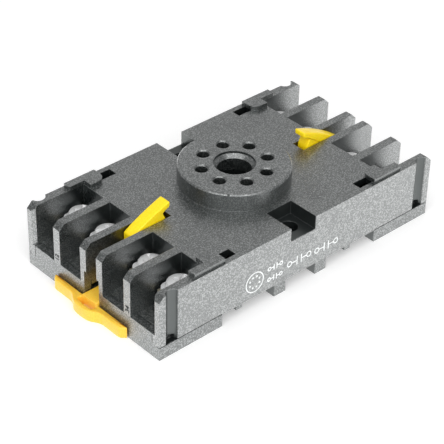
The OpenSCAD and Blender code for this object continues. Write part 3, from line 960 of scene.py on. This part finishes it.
@dataclass
class RailLatch:
    """The sliding latch: T-bar with a pry loop, stem, jaw and lip.

    Attributes:
        back: Distance of the bar's back from the centre.
        front: Distance of the bar's front.
        half: Half length of the bar at its back and at its front.
        loop_front: Distance of the front of the pry loop.
        loop_half: Half width of the loop where it meets the bar.
        loop_shoulder: Half width of the loop where its blunt point begins.
        blunt: How far the point of the loop, and of the slot in it, stands out.
        height: Height of the bar.
        slot: Nearest and furthest distance of the pry slot, and its half width.
        eye_x: Place of a point in the slot, from which all its outline is seen.
        edge: Radius of the edges.
        stem: Stations of the stem: x, half width, lower z and upper z.
        jaw: Stations of the jaw.
        lip: Stations of the lip that reaches under the rail.
    """

    back: float = 46.1
    front: float = 47.6
    half: Pair = (13.8, 12.6)
    loop_front: float = 49.6
    loop_half: float = 5.4
    loop_shoulder: float = 2.9
    blunt: float = 0.25
    height: float = 3.25
    slot: Triple = (46.8, 48.4, 2.8)
    eye_x: float = -47.3
    edge: float = 0.3
    stem: Stations = (
        (-46.8, 2.55, 1.25, 3.95),
        (-46.7, 2.6, 1.2, 4.0),
        (-24.1, 2.6, 1.2, 4.0),
        (-24.0, 2.6, 1.2, 3.4),
        (-21.9, 2.6, 1.2, 3.4),
    )
    jaw: Stations = (
        (-21.9, 5.9, 1.3, 3.3),
        (-21.8, 6.0, 1.2, 3.4),
        (-19.8, 6.0, 1.2, 3.4),
        (-19.7, 6.0, 1.2, 3.4),
    )
    lip: Stations = ((-20.2, 6.0, 1.2, 2.4), (-18.5, 6.0, 1.2, 2.4), (-18.4, 5.9, 1.3, 2.3))

    def build(self, finishes: Finishes) -> None:
        """Makes the latch and lets it stand for its solid.

        Args:
            finishes: The materials.
        """
        outline = densified(self._outline(), pieces=160)
        hole = opposite_hole(outline, densified(self._slot_outline(), pieces=90), (self.eye_x, 0.0))
        head = ring_grid(outline, hole, edge_rows(0.0, self.height, self.edge))
        bars = ((self.stem, 0.3), (self.jaw, 0.15), (self.lip, 0.1))
        grids = [(head, True, False)] + [(swept_box(*bar), False, True) for bar in bars]
        piece = make_piece("din_latch_moulding", grids)
        dress(piece, finishes.orange)
        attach(piece, "latch")
        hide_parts("din_latch")
        LOG.info("latch built with %d faces", len(piece.data.polygons))

    def _outline(self) -> np.ndarray:
        """Gives the outline of the bar and the loop, anticlockwise from above.

        Returns:
            Points of the outline, shape (n, 2).
        """
        front, tip = -self.front, -self.loop_front
        back_half, front_half = self.half
        corners = [
            [-self.back, back_half],
            [front, front_half],
            [front, self.loop_half],
            [tip + self.blunt, self.loop_shoulder],
            [tip, 0.0],
            [tip + self.blunt, -self.loop_shoulder],
            [front, -self.loop_half],
            [front, -front_half],
            [-self.back, -back_half],
        ]
        return rounded_outline(corners, [0.35, 0.8, 1.6, 1.4, 2.4, 1.4, 1.6, 0.8, 0.35], steps=8)

    def _slot_outline(self) -> np.ndarray:
        """Gives the outline of the pry slot, whose front follows the loop's blunt point.

        Returns:
            Points of the outline, shape (n, 2).
        """
        near, far, half = self.slot
        shoulder = -far + self.blunt
        corners = [[shoulder, -half], [-near, -half], [-near, half], [shoulder, half], [-far, 0.0]]
        return rounded_outline(corners, [0.3, 0.3, 0.3, 0.3, 2.0], steps=8)


@dataclass
class ReleaseLever:
    """One rocking release lever with its trunnions.

    Attributes:
        side: The end of the socket that it stands at.
        nose_rise: Height of the top of its nose above the pivot.
        tail: Reach of its tail beyond the pivot.
        tail_rise: Height of the top of the tail above the pivot.
        bulge: How far its back bulges out of a straight line.
        pivot: Distance of the pivot from the centre, and its height.
        nose: Reach, depth and length of the nose.
        depths: Depth of the tail and of the nose's root, in depths of the nose's end.
        boss: Radius of the boss round the pivot.
        throat: How far back from the nose's end the throat under it lies.
        width: Width of the lever.
        trunnion: Radius and half length of the trunnions, and the radius of their edges.
        edge: Radius of its edges.
        back_points: Number of points along its back.
    """

    side: Side
    nose_rise: float
    tail: float
    tail_rise: float
    bulge: float
    pivot: Pair = (30.0, 13.0)
    nose: Triple = (7.4, 1.5, 2.2)
    depths: Pair = (2.2, 1.75)
    boss: float = 2.6
    throat: float = 1.2
    width: float = 3.4
    trunnion: Triple = (1.5, 3.3, 0.15)
    edge: float = 0.28
    back_points: int = 9

    def build(self, finishes: Finishes) -> None:
        """Makes the lever and lets it stand for its solid.

        Args:
            finishes: The materials.
        """
        name = "lever_latch_end" if self.side is Side.LATCH_END else "lever_fixed_end"
        body = "latch_end_lever" if self.side is Side.LATCH_END else "fixed_end_lever"
        half = self.width / 2
        radius, reach, small_edge = self.trunnion
        plate = slab_grid(densified(self._outline(), pieces=160), edge_rows(-half, half, self.edge))
        pin = slab_grid(circle(radius, self.pivot, count=40), edge_rows(-reach, reach, small_edge))
        grids = [(self._upright(grid), False, True) for grid in (plate, pin)]
        piece = make_piece(name + "_moulding", grids)
        dress(piece, finishes.yellow)
        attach(piece, body)
        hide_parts(name)
        LOG.info("%s built", name)

    def _upright(self, grid: np.ndarray) -> np.ndarray:
        """Stands a flat slab up across Y and turns it to its end of the socket."""
        s = self.side.value
        return np.stack([s * grid[..., 0], -s * grid[..., 2], grid[..., 1]], axis=-1)

    def _outline(self) -> np.ndarray:
        """Gives the side view of the lever, x from the centre and z, anticlockwise.

        The back is a straight line from the nose to the tail plus a parabola, 4 bulge t (1 - t),
        square to it.

        Returns:
            Points of the outline, shape (n, 2).
        """
        reach, depth, length = self.nose
        tail_depth, root_depth = (share * depth for share in self.depths)
        low = self.boss * math.sin(math.radians(45))
        nose_top = np.array([-reach, self.nose_rise])
        tail_top = np.array([self.tail, self.tail_rise])
        along = unit(tail_top - nose_top)
        t = np.linspace(0.0, 1.0, self.back_points)[:, None]
        arch = 4 * self.bulge * t * (1 - t) * np.array([-along[1], along[0]])
        under = [
            [self.tail, self.tail_rise - tail_depth],
            [self.boss, 0],
            [low, -low],
            [0, -self.boss],
            [-low, -low],
            [-self.boss - depth, 0],
            [self.throat - reach, depth],
            [self.throat - reach, self.nose_rise / 2],
            [length - reach, self.nose_rise - root_depth],
            [-reach, self.nose_rise - depth],
        ]
        corners = np.vstack([nose_top + t * (tail_top - nose_top) + arch, under])[::-1]
        under_radii = [0.45, 0.35, 0.8, 0.8, 1.2, 1.2, 1.2, 1.2, 1.2, 0.6]
        back_radii = [0.5] + [0.6] * (self.back_points - 2) + [0.5]
        return rounded_outline(corners, under_radii + back_radii, steps=7) + np.array(self.pivot)


@dataclass
class Terminal:
    """One terminal: its clamp washer and its screw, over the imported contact.

    Attributes:
        number: Its number, from 1 to 8.
        side: The end of the socket.
        turn_deg: How the drive slot lies.
        y: Its place across the socket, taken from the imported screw.
        screw_x: Distance of the screw from the centre.
        washer_z: Height of the underside of the washer.
        washer_thickness: Thickness of the washer.
        washer_edge: Radius of its edges.
        washer_gap: Room between the washer's hole and the thread.
        head_z: Height of the underside of the screw head.
        head_radius: Radius of the screw head.
        head_rim: Height of the upright rim of the head.
        head_dome: Height of the dome over it.
        recess: Depth of the drive recess.
        slot_half: Half width of the drive slot and of the bar across it.
        slot_reach: Half length of the slot, as a share of the head's radius.
        cross_reach: Half length of the bar across it.
        shank_radius: Radius of the thread.
        shank_length: Length of the shank.
        pitch: Pitch of the thread.
        thread: Depth of the core below the thread's radius, and height of the thread on it.
    """

    number: int
    side: Side
    turn_deg: float
    y: float = 0.0
    screw_x: float = 34.0
    washer_z: float = 11.42
    washer_thickness: float = 1.0
    washer_edge: float = 0.14
    washer_gap: float = 0.15
    head_z: float = 12.54
    head_radius: float = 3.25
    head_rim: float = 0.8
    head_dome: float = 0.75
    recess: float = 0.85
    slot_half: float = 0.42
    slot_reach: float = 0.94
    cross_reach: float = 1.75
    shank_radius: float = 1.6
    shank_length: float = 6.4
    pitch: float = 0.6
    thread: Pair = (0.2, 0.19)

    def build(self, frame: dict, finishes: Finishes) -> None:
        """Makes the washer and the screw, and dresses the contact.

        Args:
            frame: The loaded frame.
            finishes: The materials.
        """
        k = self.number
        low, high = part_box(f"terminal_screw_{k}")
        self.y = (low[1] + high[1]) / 2 / MM
        washer = make_piece(f"clamp_washer_{k}_stamping", [(self._washer(), True, False)])
        screw = make_piece(f"terminal_screw_{k}_turned", [(self._screw(), False, True)], sharp_deg=50.0)
        rides = ((washer, f"washer_{k}", f"clamp_washer_{k}"), (screw, f"screw_{k}", f"terminal_screw_{k}"))
        for piece, body, node in rides:
            dress(piece, finishes.zinc)
            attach(piece, body)
            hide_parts(node)
        dress(frame["nodes"][f"contact_{k}"], finishes.contact)
        LOG.info("terminal %d built", k)

    def _washer(self) -> np.ndarray:
        """Makes the flat stamped washer, whose front comes to a blunt point.

        Returns:
            Points of one surface, closed both ways.
        """
        corners = [
            [30.72, -3.43],
            [37.0, -3.43],
            [38.25, -1.9],
            [38.58, 0.0],
            [38.25, 1.9],
            [37.0, 3.43],
            [30.72, 3.43],
        ]
        radii = [0.5, 1.2, 0.8, 1.5, 0.8, 1.2, 0.5]
        outline = densified(rounded_outline(corners, radii), pieces=60)
        centre = (self.screw_x, 0.0)
        hole = opposite_hole(outline, circle(self.shank_radius + self.washer_gap, centre), centre)
        rows = edge_rows(self.washer_z, self.washer_z + self.washer_thickness, self.washer_edge)
        return self._placed(ring_grid(outline, hole, rows))

    def _screw(self) -> np.ndarray:
        """Makes the screw as one surface of angle and arc, from the middle of its head to its tip.

        Returns:
            Points, shape (rows, columns, 3).
        """
        a = np.linspace(0.0, 2 * math.pi, 120, endpoint=False)[None, :]
        head_r, tip = self.head_radius, -self.shank_length
        crown_r, crown = self._crown(a)
        rim = [[head_r, self.head_rim], [head_r, 0.1], [head_r - 0.12, 0.0]]
        side = np.array([*rim, [2.0, 0.0], [self.shank_radius, -0.02]])
        shank_z = np.linspace(-0.05, tip + 0.25, 90)[:, None]
        end = np.array([[0.95, tip], [0.1, tip]])
        full = np.zeros_like(a)
        parts = (
            (crown_r + full, crown),
            (side[:, :1] + full, side[:, 1:] + full),
            (self._shank(a, shank_z), shank_z + full),
            (end[:, :1] + full, end[:, 1:] + full),
        )
        radius = np.concatenate([part[0] for part in parts])
        height = np.concatenate([part[1] for part in parts])
        x = self.screw_x + radius * np.cos(a)
        return self._placed(np.stack([x, radius * np.sin(a), self.head_z + height], axis=-1))

    def _crown(self, a: np.ndarray) -> tuple[np.ndarray, np.ndarray]:
        """Gives the domed top of the head with its slot and cross, with closer rows over them.

        The dome is rim + dome sqrt(1 - (r / R)^4). The recess lowers it by its depth times the larger
        of the slot's and the cross's smooth masks.

        Args:
            a: Angles, shape (1, columns).

        Returns:
            Radii, shape (rows, 1), and heights, shape (rows, columns).
        """
        inner = np.linspace(0.06, 2.05, 34)
        r = np.concatenate([inner, np.linspace(2.15, self.head_radius, 16)])[:, None]
        share = r / (self.head_radius + 0.02)
        dome = self.head_rim + self.head_dome * np.sqrt(np.clip(1 - share**4, 0, 1))
        turned = a - math.radians(self.turn_deg)
        x = np.abs(r * np.cos(turned))
        y = np.abs(r * np.sin(turned))
        slot = self._step(self.slot_half - y) * self._step(self.head_radius * self.slot_reach - x)
        cross = self._step(self.slot_half - x) * self._step(self.cross_reach - y)
        return r, dome - self.recess * np.maximum(slot, cross)

    def _shank(self, a: np.ndarray, z: np.ndarray) -> np.ndarray:
        """Gives the radius of the shank with its right-hand thread.

        The thread adds its height times 1 - |2 f - 1| to the core's radius, where f is the fraction of
        z / pitch - angle / turn. Near the tip it fades out over the core's taper, above a plain end.

        Args:
            a: Angles, shape (1, columns).
            z: Heights, shape (rows, 1).

        Returns:
            Radii, shape (rows, columns).
        """
        depth, crest = self.thread
        plain_end, taper_length, taper = 0.2, 0.8, 0.25
        f = np.mod(z / self.pitch - a / (2 * math.pi), 1.0)
        fade = np.clip((z + self.shank_length - plain_end) / taper_length, 0, 1)
        return self.shank_radius - depth + fade * crest * (1 - np.abs(2 * f - 1)) - taper * (1 - fade)

    @staticmethod
    def _step(value: np.ndarray, width: float = 0.06) -> np.ndarray:
        """Goes smoothly from 0 to 1 as the value passes zero, over the width."""
        t = np.clip(value / width + 0.5, 0, 1)
        return t * t * (3 - 2 * t)

    def _placed(self, grid: np.ndarray) -> np.ndarray:
        """Turns a grid half a turn for the latch end and moves it across to its bay."""
        s = self.side.value
        return np.stack([s * grid[..., 0], s * grid[..., 1] + self.y, grid[..., 2]], axis=-1)


# Studio


@dataclass
class Studio:
    """The pale floor, the soft lamp, the sky and the camera of the photograph.

    Attributes:
        azimuth: Camera's turn round the object, in degrees.
        elevation: Camera's height angle, in degrees.
        roll: Camera's roll, in degrees.
        distance: Distance from the target, in millimetres.
        target: The point that the camera looks at, in millimetres.
        lens: Focal length on a 36 mm sensor.
        floor_half: Half the side of the floor, in metres.
        floor_lift: Light that the floor adds to itself for the camera.
        lamp_spot: Place of the lamp, in metres.
        lamp_size: Side of the lamp, in metres.
        lamp_power: Power of the lamp, in watts.
        bright_side: Direction of the bright side of the sky.
        sky: Strength of the sky away from that side and at its middle.
    """

    azimuth: float = -43.01
    elevation: float = 35.64
    roll: float = 1.452
    distance: float = 424.99
    target: Triple = (-0.002, 4.026, 2.608)
    lens: float = 134.01
    floor_half: float = 3.0
    floor_lift: float = 0.25
    lamp_spot: Triple = (-0.58, -0.6, 0.74)
    lamp_size: float = 1.8
    lamp_power: float = 17.5
    bright_side: Triple = (0.554, 0.594, 0.583)
    sky: Pair = (0.34, 0.66)

    def build(self) -> None:
        """Makes the camera, the floor, the lamp and the world."""
        self._camera()
        self._floor()
        self._lamp()
        self._world()
        bpy.context.scene.view_settings.view_transform = "Standard"

    def _camera(self) -> None:
        """Makes the camera from its two angles, its roll and its target."""
        a, e, r = (math.radians(v) for v in (self.azimuth, self.elevation, self.roll))
        back = Vector((math.sin(a) * math.cos(e), -math.cos(a) * math.cos(e), math.sin(e)))
        right = (-back).cross(Vector((0, 0, 1))).normalized()
        up = right.cross(-back).normalized()
        turned_right = math.cos(r) * right + math.sin(r) * up
        turned_up = -math.sin(r) * right + math.cos(r) * up
        data = bpy.data.cameras.new("photo_camera")
        data.lens = self.lens
        data.sensor_width = 36.0
        data.clip_start = 0.01
        camera = linked("photo_camera", data)
        turn = Matrix((turned_right, turned_up, back)).transposed().to_4x4()
        spot = Vector(self.target) * MM + back * self.distance * MM
        camera.matrix_world = Matrix.Translation(spot) @ turn
        bpy.context.scene.camera = camera

    def _floor(self) -> None:
        """Makes a wide pale floor that is white to the camera but keeps the object's shadow."""
        h = self.floor_half
        mesh = bpy.data.meshes.new("studio_floor")
        mesh.from_pydata([(-h, -h, 0), (h, -h, 0), (h, h, 0), (-h, h, 0)], [], [(0, 1, 2, 3)])
        floor = linked("studio_floor", mesh)
        material, n, shader = new_material("pale_floor")
        seen = n.add("LightPath").outputs
        shown = n.math("MULTIPLY", seen["Is Camera Ray"], self.floor_lift)
        values = {
            "Base Color": (0.9, 0.9, 0.9, 1),
            "Roughness": 1.0,
            "Specular IOR Level": 0.0,
            "Emission Color": (1, 1, 1, 1),
            "Emission Strength": n.math("MAXIMUM", shown, seen["Is Glossy Ray"]),
        }
        n.feed(shader, values)
        floor.data.materials.append(material)

    def _lamp(self) -> None:
        """Makes the soft square key lamp over the near corner, facing the origin."""
        data = bpy.data.lights.new("key_softbox", "AREA")
        data.size = self.lamp_size
        data.energy = self.lamp_power
        lamp = linked("key_softbox", data)
        spot = Vector(self.lamp_spot)
        turn = (-spot).to_track_quat("-Z", "Y").to_matrix().to_4x4()
        lamp.matrix_world = Matrix.Translation(spot) @ turn
        lamp.visible_camera = False

    def _world(self) -> None:
        """Makes a soft sky with a bright side behind the object, white where the camera sees it.

        The bright side fades out while the cosine of the angle from its middle falls to 0.35.
        """
        world = bpy.data.worlds.new("studio_world")
        bpy.context.scene.world = world
        world.use_nodes = True
        n = Nodes(world.node_tree)
        way = n.add("TexCoord").outputs["Generated"]
        behind = n.add("VectorMath", {0: way, 1: self.bright_side}, operation="DOT_PRODUCT")
        sky = n.ramp(behind.outputs["Value"], 0.35, 0.95, *self.sky)
        seen = n.add("LightPath").outputs
        strength = n.math("MAXIMUM", sky, seen["Is Camera Ray"], seen["Is Transmission Ray"])
        n.feed(world.node_tree.nodes["Background"], {"Color": (1, 1, 1, 1), "Strength": strength})


def main() -> None:
    """Builds every sub-assembly round the frame."""
    logging.basicConfig(level=logging.INFO, format="%(name)s: %(message)s")
    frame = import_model()
    Studio().build()
    finishes = Finishes()
    Shell().build(frame, finishes)
    PartitionNumber("12", 13.4).build(finishes)
    PartitionNumber("34", -13.4).build(finishes)
    RailLatch().build(finishes)
    ReleaseLever(Side.LATCH_END, nose_rise=9.4, tail=4.4, tail_rise=4.1, bulge=0.35).build(finishes)
    ReleaseLever(Side.FIXED_END, nose_rise=10.0, tail=7.7, tail_rise=2.0, bulge=0.72).build(finishes)
    for number, turn in enumerate(SLOT_TURNS, start=1):
        side = Side.LATCH_END if number <= len(SLOT_TURNS) / 2 else Side.FIXED_END
        Terminal(number, side, turn).build(frame, finishes)


if __name__ == "__main__":
    main()
